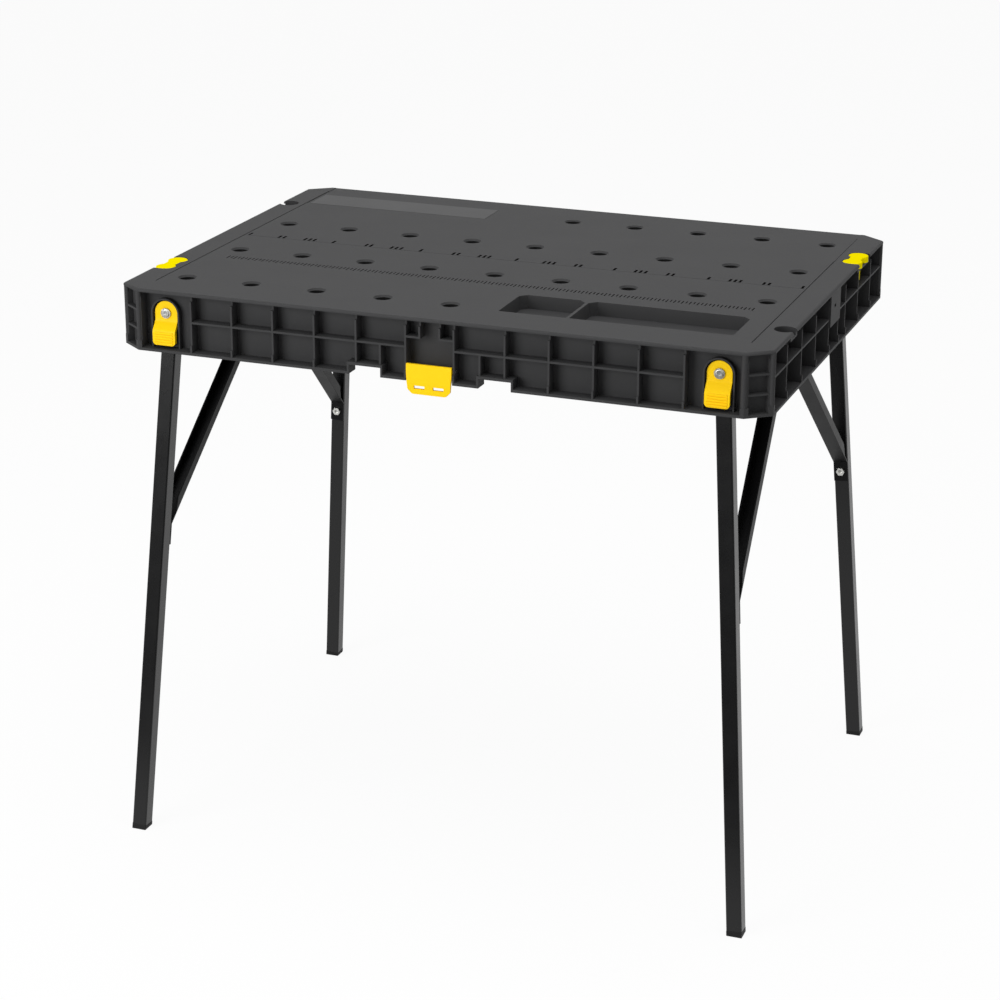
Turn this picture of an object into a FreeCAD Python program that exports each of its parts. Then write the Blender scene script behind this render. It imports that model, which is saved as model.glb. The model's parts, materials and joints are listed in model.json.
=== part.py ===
import FreeCAD, Part
import math
import os

import Sketcher

# Driving sizes in millimetres; names ending in share, count or degrees hold no length
SIZES = {
    # whole bench
    "bench_width": 850,
    "bench_depth": 608,
    "bench_height": 745,
    "top_depth": 80,
    "corner_cut_across": 30,
    "corner_cut_deep": 23,
    "edge_round": 3,
    "cut_overrun": 5,
    "join_overlap": 1,
    # moulded walls of the worktop
    "plate_thickness": 4,
    "plate_border": 3,
    "rim_recess": 18,
    "wall_thickness": 3,
    "flange_thickness": 3.5,
    "rib_thickness": 2.5,
    "mid_rib_drop": 38,
    "side_mid_rib_drop": 35,
    "corner_post": 5,
    "corner_recess": 10,
    "corner_margin": 6,
    "corner_cell_height": 22,
    "rib_setback": 2,
    "rib_foot_height": 9,
    "rib_top_relief": 5,
    "rib_top_relief_height": 7,
    # front and back ribs
    "front_rib_first": 97,
    "front_rib_pitch": 56,
    "front_rib_count": 5,
    "short_rib_at": 65,
    "notch_from": 64,
    "notch_width": 42,
    "notch_rise": 12,
    # latch bay
    "latch_bay_half": 31.5,
    "latch_tab_at": 13,
    "latch_shelf_drop": 25,
    "latch_window_height": 14,
    # side ribs and side plate
    "side_rib_first": 78,
    "side_rib_pitch": 70,
    "side_rib_count": 3,
    "side_plate_from": -10,
    "side_plate_width": 50,
    "side_plate_height": 45,
    "side_plate_thickness": 3,
    "side_slot_at": 12,
    "side_slot_drop": 21,
    "side_slot_long": 8,
    "side_slot_high": 4,
    # lever bays
    "lever_at": 361,
    "lever_drop": 32,
    "collar_inner_radius": 17.5,
    "collar_thickness": 2,
    "collar_depth": 8,
    "lock_hole_radius": 4,
    "lock_drop": 36,
    # underside
    "rib_depth": 14,
    "rib_gap_from_hole": 45,
    "cross_rib_at": 154,
    "inner_cross_rib_at": 38.5,
    "channel_rib_at": 250,
    "collar_radius": 15,
    "collar_drop": 10,
    # dog holes
    "dog_radius": 10,
    "dog_sink_radius": 12.5,
    "dog_sink_degrees": 90,
    "dog_pitch": 90,
    "dog_inner_row": 77,
    "dog_outer_row": 231,
    "dog_half_count": 4,
    # tray
    "tray_from": 65,
    "tray_width": 296.5,
    "tray_front": 237.5,
    "tray_across": 82.5,
    "tray_deep": 17,
    "tray_wall": 3,
    "tray_divider_at": 152,
    "tray_divider": 4,
    "tray_corner": 9,
    "tray_draft_degrees": 8,
    # marks moulded in the top
    "groove_at": 390,
    "groove_front": 260,
    "groove_back": 277,
    "groove_width": 1.4,
    "groove_deep": 1,
    "panel_deep": 0.6,
    "panel_line": 200,
    "panel_line_right": 148,
    "panel_turn_from": -55,
    "panel_turn_to": -15,
    # key seats and connectors
    "key_inset": 13,
    "key_at": 190,
    "key_spacing": 34,
    "key_lobe_radius": 13,
    "key_waist": 17,
    "key_thickness": 8,
    "key_seat_depth": 8.4,
    "key_seat_floor": 2.5,
    "key_clearance": 0.4,
    "key_block_margin": 2,
    "key_block_across": 30,
    "key_stem_radius": 3.2,
    "key_stem_length": 33,
    "key_stem_fit": 0.08,
    "key_barb_radius": 4.5,
    "key_barb_height": 5,
    "key_edge": 0.8,
    # legs
    "foot_at_x": 413.5,
    "foot_at_y": 319,
    "leg_at_x": 364.5,
    "leg_at_y": 272,
    "tube": 20,
    "tube_wall": 1.5,
    "tube_corner": 2,
    "leg_overhang": 6.5,
    "upper_pivot_drop": 33.1,
    "lower_pivot_drop": 54.9,
    "pivot_radius": 4,
    "pivot_fit": 0.05,
    "pivot_wall_gap": 0.4,
    "pivot_head_radius": 7.5,
    "pivot_head_height": 5,
    "pivot_head_gap": 0.8,
    "pivot_bolt_bore": 2.5,
    "pivot_bolt_bore_deep": 9,
    "hinge_web_outer": 257.5,
    "hinge_web_thickness": 4,
    "hinge_web_half": 30,
    "hinge_web_below": 14,
    "stop_gap": 0.3,
    "stop_thickness": 3,
    "cap_height": 7,
    "cap_plug_length": 18,
    "cap_plug_fit": 0.1,
    # braces
    "brace_thickness": 2,
    "brace_flange": 11,
    "brace_kink_height": 427,
    "brace_tab_length": 29,
    "brace_bolt_drop": 14,
    "brace_bend_height": 658,
    "brace_end_at": 20,
    "brace_tab_over": 8,
    "brace_flange_share": 0.05,
    "brace_bolt_radius": 3,
    "brace_bolt_fit": 0.06,
    "brace_head_radius": 6,
    "brace_head_height": 4,
    "brace_bolt_length": 12,
    "brace_pivot_length": 14,
    "mid_web_thickness": 4,
    "mid_web_gap": 1.2,
    "mid_web_half": 28,
    "mid_web_below": 7,
    "nut_height": 5,
    # levers
    "lever_width": 31,
    "lever_gap": 1.5,
    "lever_lobe_thickness": 3,
    "lever_ramp_from": 10,
    "lever_ramp_to": 22,
    "lever_pad_front": 13.7,
    "lever_pad_thickness": 5,
    "lever_bottom": 40,
    "lever_corner": 5,
    "lever_bend": 9,
    "lever_ridge_wide": 25,
    "lever_ridge_high": 1.6,
    "lever_ridge_proud": 1,
    "lever_ridge_pitch": 3.4,
    "lever_ridge_count": 5,
    "lever_ridge_from": 38,
    "lever_peg_radius": 3,
    "screw_radius": 2,
    "screw_play": 0.6,
    "screw_fit": 0.06,
    "screw_head_radius": 5,
    "screw_head_height": 2.6,
    "screw_length": 11,
    # latches
    "latch_pin_inset": 8,
    "latch_pin_drop": 65,
    "latch_pin_radius": 2.5,
    "latch_pin_fit": 0.06,
    "latch_barrel_radius": 4.5,
    "latch_side_gap": 0.5,
    "latch_face": 8.5,
    "latch_rise": 7,
    "latch_length": 31,
    "latch_bulge": 1,
    "latch_thickness": 3.5,
    "latch_foot_half": 28,
    "latch_corner": 6,
    "latch_slot_at": 12.5,
    "latch_slot_long": 14,
    "latch_slot_high": 4,
    "latch_slot_drop": 22,
}

doc = FreeCAD.newDocument("folding_workbench")
sheet = doc.addObject("Spreadsheet::Sheet", "sizes")
for row, (name, number) in enumerate(SIZES.items(), start=1):
    sheet.set(f"A{row}", name)
    sheet.set(f"B{row}", str(number))
    sheet.setAlias(f"B{row}", name)
doc.recompute()


class Size:
    """A number together with the expression that binds it to the sheet."""

    def __init__(self, text, value):
        self.text = text
        self.value = value

    def __add__(self, other):
        other = as_size(other)
        return Size(f"({self.text} + {other.text})", self.value + other.value)

    def __sub__(self, other):
        other = as_size(other)
        return Size(f"({self.text} - {other.text})", self.value - other.value)

    def __mul__(self, other):
        other = as_size(other)
        return Size(f"({self.text} * {other.text})", self.value * other.value)

    def __truediv__(self, other):
        other = as_size(other)
        return Size(f"({self.text} / {other.text})", self.value / other.value)

    def __rmul__(self, other):
        return as_size(other) * self

    def __neg__(self):
        return Size(f"(0 - {self.text})", -self.value)


def as_size(number):
    return number if isinstance(number, Size) else Size(f"({number})", float(number))


def root(size):
    return Size(f"sqrt({size.text})", math.sqrt(size.value))


class Named:
    """Every cell of the sheet as a Size under its own name."""


s = Named()
for name in SIZES:
    setattr(s, name, Size(f"sizes.{name}", float(sheet.get(name))))
ZERO = as_size(0)


# Helpers that draw bound sketches and features; constraints wait until a sketch is used
waiting = {}


def new_body(label):
    body = doc.addObject("PartDesign::Body", label)
    body.Label = label
    return body


def origin_part(body, role):
    return next(part for part in body.Origin.OriginFeatures if part.Role == role)


def new_sketch(body, role, height=ZERO, across=None, turn=None):
    sketch = body.newObject("Sketcher::SketchObject", "outline")
    waiting[sketch.Name] = []
    sketch.AttachmentSupport = [(origin_part(body, role), "")]
    sketch.MapMode = "FlatFace"
    if turn is not None:
        axis = FreeCAD.Vector(0, 1, 0)
        sketch.AttachmentOffset = FreeCAD.Placement(FreeCAD.Vector(), FreeCAD.Rotation(axis, turn.value))
        sketch.setExpression("AttachmentOffset.Rotation.Angle", turn.text)
    if across is not None:
        sketch.setExpression("AttachmentOffset.Base.x", across.text)
    sketch.setExpression("AttachmentOffset.Base.z", height.text)
    return sketch


def held(geometry, point, x, y):
    """What fixes a point by its two distances from the sketch's origin."""
    rules = []
    for kind, axis, distance in (("DistanceX", -2, x), ("DistanceY", -1, y)):
        if distance.value == 0:
            rules.append((Sketcher.Constraint("PointOnObject", geometry, point, axis), None))
        else:
            rules.append((Sketcher.Constraint(kind, -1, 1, geometry, point, distance.value), distance))
    return rules


def coincident(first, second):
    return Sketcher.Constraint("Coincident", first, 2, second, 1), None


def apply_rules(sketch):
    """Add the sketch's waiting constraints in one step and bind their dimensions to the sheet."""
    rules = waiting.pop(sketch.Name)
    places = sketch.addConstraint([rule for rule, size in rules])
    for place, (rule, size) in zip(places, rules):
        if size is not None:
            sketch.setExpression(f"Constraints[{place}]", size.text)


def vector(point):
    return FreeCAD.Vector(point[0].value, point[1].value, 0)


def outline(sketch, points):
    rules = waiting[sketch.Name]
    ends = points[1:] + points[:1]
    lines = [Part.LineSegment(vector(a), vector(b)) for a, b in zip(points, ends)]
    made = sketch.addGeometry(lines)
    rules.extend(coincident(here, after) for here, after in zip(made, made[1:] + made[:1]))
    for line, (x, y) in zip(made, points):
        rules.extend(held(line, 1, x, y))


def rectangle(sketch, left, right, low, high):
    outline(sketch, [(left, low), (right, low), (right, high), (left, high)])


def circle(sketch, x, y, radius):
    rules = waiting[sketch.Name]
    made = sketch.addGeometry(Part.Circle(vector((x, y)), FreeCAD.Vector(0, 0, 1), radius.value))
    rules.extend(held(made, 3, x, y))
    rules.append((Sketcher.Constraint("Radius", made, radius.value), radius))


def arch(sketch, x, low, centre, radius):
    """A tall outline with a flat foot and a half-round head."""
    left, right = x - radius, x + radius
    corners = [(left, centre), (left, low), (right, low), (right, centre)]
    lines = [Part.LineSegment(vector(a), vector(b)) for a, b in zip(corners, corners[1:])]
    made = list(sketch.addGeometry(lines))
    head = Part.Circle(vector((x, centre)), FreeCAD.Vector(0, 0, 1), radius.value)
    made.append(sketch.addGeometry(Part.ArcOfCircle(head, 0, math.pi)))
    rules = waiting[sketch.Name]
    rules.extend(coincident(here, after) for here, after in zip(made, made[1:] + made[:1]))
    for line, (along, up) in zip(made, corners):
        rules.extend(held(line, 1, along, up))
    rules.append(held(made[3], 3, x, centre)[1])


def feature(body, kind, sketch, length, flip=False):
    apply_rules(sketch)
    made = body.newObject(kind, "step")
    made.Profile = sketch
    made.Reversed = flip
    made.setExpression("Length", length.text)
    return made


def pad(body, sketch, length, flip=False):
    return feature(body, "PartDesign::Pad", sketch, length, flip)


def pocket(body, sketch, length, flip=False):
    return feature(body, "PartDesign::Pocket", sketch, length, flip)


def edges_where(made, test):
    """Names of the edges whose two ends and middle all pass the test."""
    names = []
    for number, edge in enumerate(made.Shape.Edges, start=1):
        middle = edge.valueAt((edge.FirstParameter + edge.LastParameter) / 2)
        spots = [vertex.Point for vertex in edge.Vertexes] + [middle]
        if all(test(spot) for spot in spots):
            names.append(f"Edge{number}")
    return names


def dress(body, kind, made, names, size, field):
    rounded = body.newObject(kind, "dressing")
    rounded.Base = (made, names)
    rounded.setExpression(field, size.text)
    return rounded


def near(a, b):
    return abs(a - b) < s.bench_width.value * 1e-6


# Worktop: a rim with its walls and seats, joined to an inner plate with ribs, tray and holes
half_width = s.bench_width / 2
half_depth = s.bench_depth / 2
top_face = s.bench_height
rim = s.bench_height - s.top_depth
plate_under = s.bench_height - s.plate_thickness
plate_mid = s.bench_height - s.plate_thickness / 2
flange_top = rim + s.flange_thickness
rib_half = s.rib_thickness / 2
outside_front = half_depth + s.cut_overrun
wall_front = half_depth - s.rim_recess
wall_inner = wall_front - s.wall_thickness
lever_z = s.bench_height - s.lever_drop
cut_length = root(s.corner_cut_across * s.corner_cut_across + s.corner_cut_deep * s.corner_cut_deep)
SIDES = (as_size(-1), as_size(1))


def top_outline(inset):
    """The eight-cornered plan of the top, moved inwards by inset."""
    across = s.corner_cut_across - inset * (1 - (cut_length.value - s.corner_cut_across.value)
                                            / s.corner_cut_deep.value)
    deep = s.corner_cut_deep - inset * (1 - (cut_length.value - s.corner_cut_deep.value)
                                        / s.corner_cut_across.value)
    x, y = half_width - inset, half_depth - inset
    return [(across - x, -y), (x - across, -y), (x, deep - y), (x, y - deep),
            (x - across, y), (across - x, y), (-x, y - deep), (-x, deep - y)]


# Where each leg's hinge axis runs: it leans with the leg, so that the leg folds along the front wall
lean_x = (s.foot_at_x - s.leg_at_x) / rim
lean_y = (s.foot_at_y - s.leg_at_y) / rim


def pivot_of(drop):
    height = s.bench_height - drop
    return s.leg_at_x - lean_x * (height - rim), s.leg_at_y - lean_y * (height - rim), height


upper_pivot = pivot_of(s.upper_pivot_drop)
lower_pivot = pivot_of(s.lower_pivot_drop)
LEVELS = ((SIDES[0], upper_pivot), (SIDES[1], lower_pivot))
web_inner = s.hinge_web_outer - s.hinge_web_thickness
mid_web_outer = s.brace_end_at - s.brace_thickness - s.mid_web_gap

# Inner plate with the ribs, channel walls and hole collars of the underside
inner = new_body("inner_plate")
window_x = s.groove_at + s.plate_border
window_y = s.groove_back + s.plate_border
plate_x, plate_y = window_x + s.join_overlap, window_y + s.join_overlap
plate = new_sketch(inner, "XY_Plane", plate_under)
rectangle(plate, -plate_x, plate_x, -plate_y, plate_y)
pad(inner, plate, s.plate_thickness)
rib_drop = s.rib_depth + s.plate_thickness / 2
wall_in_x = half_width - s.rim_recess - s.wall_thickness / 2
long_ribs = new_sketch(inner, "XY_Plane", plate_mid)
for side in SIDES:
    for count in range(int(s.dog_half_count.value)):
        at = side * (s.rib_gap_from_hole + s.dog_pitch * count)
        rectangle(long_ribs, at - rib_half, at + rib_half, -s.channel_rib_at, s.channel_rib_at)
pad(inner, long_ribs, rib_drop, True)
cross_ribs = new_sketch(inner, "XY_Plane", plate_mid)
block_in = half_width - s.key_block_across
rib_ends = ((s.inner_cross_rib_at, wall_in_x), (s.cross_rib_at, block_in + s.join_overlap),
            (s.channel_rib_at, wall_in_x))
for side in SIDES:
    for at, reach in rib_ends:
        rectangle(cross_ribs, -reach, reach, side * at - rib_half, side * at + rib_half)
pad(inner, cross_ribs, rib_drop, True)

dog_places = []
for count in range(-int(s.dog_half_count.value), int(s.dog_half_count.value) + 1):
    x = s.dog_pitch * count
    dog_places.extend([(x, -s.dog_inner_row), (x, s.dog_inner_row)])
    if count <= 0:
        dog_places.append((x, -s.dog_outer_row))
    if count >= 0:
        dog_places.append((x, s.dog_outer_row))
collars = new_sketch(inner, "XY_Plane", plate_mid)
for x, y in dog_places:
    circle(collars, x, y, s.collar_radius)
pad(inner, collars, s.collar_drop + s.plate_thickness / 2, True)

# Tray block under the plate
tray_to = s.tray_from + s.tray_width
tray_back = s.tray_front - s.tray_across
tray_block = new_sketch(inner, "XY_Plane", plate_mid)
rectangle(tray_block, s.tray_from - s.tray_wall, tray_to + s.tray_wall,
          -(s.tray_front + s.tray_wall), s.tray_wall - tray_back)
pad(inner, tray_block, s.tray_deep + s.tray_wall - s.plate_thickness / 2, True)

# Hinge webs, stop ribs and middle webs, deeper on the right where the legs fold under the left ones
for side, (pivot_x, pivot_y, pivot_z) in LEVELS:
    webs = new_sketch(inner, "XY_Plane", plate_mid)
    for end in SIDES:
        rectangle(webs, side * (pivot_x - s.hinge_web_half), side * (pivot_x + s.hinge_web_half),
                  end * web_inner, end * s.hinge_web_outer)
    pad(inner, webs, plate_mid - pivot_z + s.hinge_web_below, True)
    mids = new_sketch(inner, "XY_Plane", plate_mid)
    for end in SIDES:
        rectangle(mids, side * (pivot_x - s.mid_web_half), side * (pivot_x + s.mid_web_half),
                  end * (mid_web_outer - s.mid_web_thickness), end * mid_web_outer)
    drop_to_mid = lean_y * (pivot_y - s.brace_end_at)
    pad(inner, mids, plate_mid - pivot_z + drop_to_mid + s.mid_web_below, True)
stops = new_sketch(inner, "XY_Plane", plate_mid)
stop_x = s.leg_at_x + s.tube / 2 * root(lean_x * lean_x + 1) + s.stop_gap
for side in SIDES:
    for end in SIDES:
        rectangle(stops, side * stop_x, side * (stop_x + s.stop_thickness),
                  end * web_inner, end * (wall_inner + s.join_overlap))
pad(inner, stops, plate_mid - rim, True)

# Holes of the hinge webs, front and back, and one cut through both middle webs
web_cuts = ((s.hinge_web_outer, s.hinge_web_thickness, s.pivot_radius, s.hinge_web_thickness, False),
            (-s.hinge_web_outer, s.hinge_web_thickness, s.pivot_radius, s.hinge_web_thickness, True),
            (mid_web_outer, s.mid_web_thickness, s.brace_bolt_radius, mid_web_outer * 2, False))
for face, thickness, radius, depth, flip in web_cuts:
    outer = -s.join_overlap if flip else s.join_overlap
    drilled = new_sketch(inner, "XZ_Plane", face + outer)
    for side, (pivot_x, pivot_y, pivot_z) in LEVELS:
        middle = -face if flip else face
        rise = lean_y * (middle - thickness / 2 - pivot_y)
        circle(drilled, side * pivot_x, pivot_z + rise, radius + s.pivot_wall_gap)
    pocket(inner, drilled, depth + s.join_overlap * 2, flip)

# Tray compartments, drafted
corner = s.tray_corner
for left, right in ((s.tray_from, s.tray_divider_at), (s.tray_divider_at + s.tray_divider, tray_to)):
    room = new_sketch(inner, "XY_Plane", top_face)
    outline(room, [(left, -s.tray_front), (right, -s.tray_front), (right, -(tray_back + corner)),
                   (right - corner, -tray_back), (left + corner, -tray_back),
                   (left, -(tray_back + corner))])
    sunk = pocket(inner, room, s.tray_deep)
    sunk.setExpression("TaperAngle", (-s.tray_draft_degrees).text)

# Grooves and the shallow panel of the top face
grooves = new_sketch(inner, "XY_Plane", top_face)
for side in SIDES:
    rectangle(grooves, side * s.groove_at - s.groove_width / 2, side * s.groove_at + s.groove_width / 2,
              -s.groove_front, s.groove_back)
pocket(inner, grooves, s.groove_deep)
panel = new_sketch(inner, "XY_Plane", top_face)
panel_right = s.groove_at - s.groove_width / 2
outline(panel, [(-panel_right, s.panel_line), (s.panel_turn_from, s.panel_line),
                (s.panel_turn_to, s.panel_line_right), (panel_right, s.panel_line_right),
                (panel_right, s.groove_back), (-panel_right, s.groove_back)])
pocket(inner, panel, s.panel_deep)

# Dog holes with their countersinks
dogs = new_sketch(inner, "XY_Plane", top_face)
for x, y in dog_places:
    circle(dogs, x, y, s.dog_radius)
apply_rules(dogs)
doc.recompute()
holes = inner.newObject("PartDesign::Hole", "dog_holes")
holes.Profile = dogs
doc.recompute()
holes.ThreadType = 0
holes.DepthType = "Dimension"
holes.setExpression("Depth", (s.collar_drop + s.plate_thickness + s.cut_overrun).text)
holes.DrillPoint = "Flat"
holes.setExpression("Diameter", (s.dog_radius * 2).text)
holes.HoleCutType = "Countersink"
holes.setExpression("HoleCutDiameter", (s.dog_sink_radius * 2).text)
holes.setExpression("HoleCutCountersinkAngle", s.dog_sink_degrees.text)
inner.Tip = holes

# Rim: a rounded slab, hollowed under its plate and opened where the inner plate goes
worktop = new_body("worktop")
plan = new_sketch(worktop, "XY_Plane", rim)
outline(plan, top_outline(ZERO))
slab = pad(worktop, plan, s.top_depth)
doc.recompute()
top_edges = edges_where(slab, lambda spot: near(spot.z, top_face.value))
dress(worktop, "PartDesign::Fillet", slab, top_edges, s.edge_round, "Radius")
hollow = new_sketch(worktop, "XY_Plane", plate_under)
outline(hollow, top_outline(s.rim_recess + s.wall_thickness))
pocket(worktop, hollow, s.top_depth - s.plate_thickness + s.cut_overrun)
opening = new_sketch(worktop, "XY_Plane", top_face)
rectangle(opening, -window_x, window_x, -window_y, window_y)
pocket(worktop, opening, s.plate_thickness + s.cut_overrun)

# Cells of the front wall, which the half turn repeats at the back
mid_rib = s.bench_height - s.mid_rib_drop
cells = new_sketch(worktop, "XZ_Plane", outside_front)
stations = [s.latch_bay_half] + [s.front_rib_first + s.front_rib_pitch * count
                                 for count in range(int(s.front_rib_count.value))]
lower_stations = [s.latch_bay_half, s.short_rib_at] + stations[1:]
for side in SIDES:
    for row, low, high in ((stations, mid_rib + rib_half, plate_under),
                           (lower_stations, flange_top, mid_rib - rib_half)):
        for start, end in zip(row, row[1:]):
            rectangle(cells, side * (start + rib_half), side * (end - rib_half), low, high)
    bay_end = half_width - s.corner_cut_across - s.corner_post
    rectangle(cells, side * (stations[-1] + rib_half), side * bay_end, flange_top, plate_under)
shelf = s.bench_height - s.latch_shelf_drop
bay = s.latch_bay_half - rib_half
tab_in, tab_out = s.latch_tab_at - rib_half, s.latch_tab_at + rib_half
outline(cells, [(-bay, flange_top), (bay, flange_top), (bay, shelf - rib_half), (tab_in, shelf - rib_half),
                (tab_in, plate_under), (-tab_in, plate_under), (-tab_in, shelf - rib_half),
                (-bay, shelf - rib_half)])
for side in SIDES:
    rectangle(cells, side * tab_out, side * bay, shelf + rib_half, plate_under)
turned = [pocket(worktop, cells, s.rim_recess + s.cut_overrun)]

# Cells of the right side, which the half turn repeats at the left
side_mid = s.bench_height - s.side_mid_rib_drop
side_cells = new_sketch(worktop, "YZ_Plane", half_width + s.cut_overrun)
side_ribs = [s.side_rib_first + s.side_rib_pitch * count for count in range(int(s.side_rib_count.value))]
side_end = half_depth - s.corner_cut_deep - s.corner_post + rib_half
plate_to = s.side_plate_from + s.side_plate_width
side_stations = [-side_end] + [-at for at in reversed(side_ribs)] + [s.side_plate_from, plate_to]
side_stations = side_stations + side_ribs + [side_end]
for low, high in ((flange_top, side_mid - rib_half), (side_mid + rib_half, plate_under)):
    for start, end in zip(side_stations, side_stations[1:]):
        rectangle(side_cells, start + rib_half, end - rib_half, low, high)
turned.append(pocket(worktop, side_cells, s.rim_recess + s.cut_overrun))

# Three cells on each cut corner
cut_angle = Size(f"atan({s.corner_cut_deep.text} / {s.corner_cut_across.text})",
                 math.degrees(math.atan(s.corner_cut_deep.value / s.corner_cut_across.value)))
corner_reach = cut_length / 2 - s.corner_margin
for side in SIDES:
    face = new_sketch(worktop, "XZ_Plane", half_depth - s.corner_cut_deep / 2,
                      side * (half_width - s.corner_cut_across / 2), side * cut_angle)
    for row in range(3):
        low = flange_top + (s.corner_cell_height + s.rib_thickness) * row
        rectangle(face, -corner_reach, corner_reach, low, low + s.corner_cell_height)
    turned.append(pocket(worktop, face, s.corner_recess))

# Ribs stand back from the rim above their feet, and further back under the plate
for inset, height in ((s.rib_setback, plate_under - flange_top - s.rib_foot_height),
                      (s.rib_top_relief, s.rib_top_relief_height)):
    ring = new_sketch(worktop, "XY_Plane", plate_under)
    outline(ring, top_outline(-s.cut_overrun))
    outline(ring, top_outline(inset))
    pocket(worktop, ring, height)

# Walls of the raised notches in the bottom flange
notch_to = s.notch_from + s.notch_width
notch_top = rim + s.notch_rise
block = new_sketch(worktop, "XZ_Plane", wall_front - s.join_overlap)
for side in SIDES:
    rectangle(block, side * (s.notch_from - s.rib_thickness), side * (notch_to + s.rib_thickness),
              rim, notch_top + s.flange_thickness)
turned.append(pad(worktop, block, s.rim_recess + s.join_overlap))

# Arched collars round the levers
collar_outer = s.collar_inner_radius + s.collar_thickness
collar = new_sketch(worktop, "XZ_Plane", wall_front - s.join_overlap)
for side in SIDES:
    arch(collar, side * s.lever_at, rim + s.join_overlap, lever_z, collar_outer)
turned.append(pad(worktop, collar, s.collar_depth + s.join_overlap))
inside = new_sketch(worktop, "XZ_Plane", wall_front + s.collar_depth)
for side in SIDES:
    arch(inside, side * s.lever_at, flange_top, lever_z, s.collar_inner_radius)
turned.append(pocket(worktop, inside, s.collar_depth))

# Flat plate on the side with its small slot
side_plate = new_sketch(worktop, "YZ_Plane", half_width - s.side_plate_thickness)
rectangle(side_plate, s.side_plate_from, plate_to, s.bench_height - s.side_plate_height,
          plate_under + s.join_overlap)
turned.append(pad(worktop, side_plate, s.side_plate_thickness))
side_slot = new_sketch(worktop, "YZ_Plane", half_width + s.cut_overrun)
slot_mid = s.bench_height - s.side_slot_drop
rectangle(side_slot, s.side_slot_at - s.side_slot_long / 2, s.side_slot_at + s.side_slot_long / 2,
          slot_mid - s.side_slot_high / 2, slot_mid + s.side_slot_high / 2)
turned.append(pocket(worktop, side_slot, s.side_plate_thickness + s.cut_overrun * 2))

# Seats at the edge: the connector's at the left front, the empty key slot at the right front
key_x = half_width - s.key_inset
seat_floor = s.bench_height - s.key_seat_depth
seat_radius = s.key_lobe_radius + s.key_clearance
seat_half_neck = s.key_waist / 2 + s.key_clearance
outer_x = half_width + s.cut_overrun
block_out = half_width - s.key_block_margin
key_far = s.key_at - s.key_spacing
seat_block = new_sketch(worktop, "XY_Plane", seat_floor - s.key_seat_floor)
seat_edge = seat_radius + s.key_block_margin
rectangle(seat_block, -block_out, -block_in, -(s.key_at + seat_edge), seat_edge - key_far)
rectangle(seat_block, block_in, block_out, -(s.key_at + seat_edge), seat_edge - s.key_at)
turned.append(pad(worktop, seat_block, s.key_seat_depth + s.key_seat_floor - s.plate_thickness
                  + s.join_overlap))
open_side = new_sketch(worktop, "XY_Plane", top_face)
rectangle(open_side, -outer_x, -key_x, -(s.key_at + seat_radius), seat_radius - key_far)
rectangle(open_side, key_x, outer_x, -(s.key_at + seat_half_neck), seat_half_neck - s.key_at)
turned.append(pocket(worktop, open_side, s.key_seat_depth))
lobes = new_sketch(worktop, "XY_Plane", top_face)
for x, y in ((-key_x, -s.key_at), (-key_x, -key_far), (key_x, -s.key_at)):
    circle(lobes, x, y, seat_radius)
turned.append(pocket(worktop, lobes, s.key_seat_depth))
waist = new_sketch(worktop, "XY_Plane", top_face)
rectangle(waist, -(key_x + s.join_overlap), seat_half_neck - key_x, -s.key_at, -key_far)
turned.append(pocket(worktop, waist, s.key_seat_depth))
stem_hole = new_sketch(worktop, "XY_Plane", top_face)
circle(stem_hole, -key_x, -s.key_at, s.key_stem_radius + s.key_stem_fit)
turned.append(pocket(worktop, stem_hole, s.key_seat_depth + s.key_seat_floor + s.cut_overrun))

half_turn = worktop.newObject("PartDesign::PolarPattern", "half_turn")
half_turn.Originals = turned
half_turn.Axis = (origin_part(worktop, "Z_Axis"), [""])
half_turn.Angle = 360
half_turn.Occurrences = 2
worktop.Tip = half_turn

# Cuts right through front and back: flange notches, latch windows, and the holes of bolts, screws and pegs
through = new_sketch(worktop, "XZ_Plane", outside_front)
for side, (pivot_x, pivot_y, pivot_z) in LEVELS:
    rectangle(through, side * s.notch_from, side * notch_to, rim - s.cut_overrun, notch_top)
    rise = lean_y * (wall_front - s.wall_thickness / 2 - pivot_y)
    circle(through, side * pivot_x, pivot_z + rise, s.pivot_radius + s.pivot_wall_gap)
    circle(through, side * s.lever_at, lever_z - s.lock_drop, s.lock_hole_radius)
rectangle(through, -bay, bay, rim - s.cut_overrun, rim + s.latch_window_height)
circle(through, s.lever_at, lever_z, s.screw_radius + s.screw_fit)
pocket(worktop, through, outside_front * 2)
pin_y = half_depth - s.latch_pin_inset
pin_z = s.bench_height - s.latch_pin_drop
pin_reach = s.latch_bay_half + rib_half + s.join_overlap
pin_holes = new_sketch(worktop, "YZ_Plane", pin_reach)
for end in SIDES:
    circle(pin_holes, end * pin_y, pin_z, s.latch_pin_radius + s.latch_pin_fit)
pocket(worktop, pin_holes, pin_reach * 2)

whole = worktop.newObject("PartDesign::Boolean", "joined_plate")
whole.Type = "Fuse"
whole.setObjects([inner])
worktop.Tip = whole


# Corner pieces: leg, cap, brace and bolts, in a frame whose Y is the hinge axis and Z runs up the leg
def corner_frame(side, end, pivot):
    up = FreeCAD.Vector(-side.value * lean_x.value, -end.value * lean_y.value, 1)
    out = FreeCAD.Vector(0, end.value, lean_y.value)
    up.normalize()
    out.normalize()
    turn = FreeCAD.Rotation(out.cross(up), out, up, "YZX")
    base = FreeCAD.Vector(side.value * pivot[0].value, end.value * pivot[1].value, pivot[2].value)
    return FreeCAD.Placement(base, turn)


stretch = root(lean_x * lean_x + lean_y * lean_y + 1)
slant = root(lean_y * lean_y + 1)
bore_half = s.tube / 2 - s.tube_wall


def moved(sizes):
    return FreeCAD.Placement(FreeCAD.Vector(*[size.value for size in sizes]), FreeCAD.Rotation())


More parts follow.
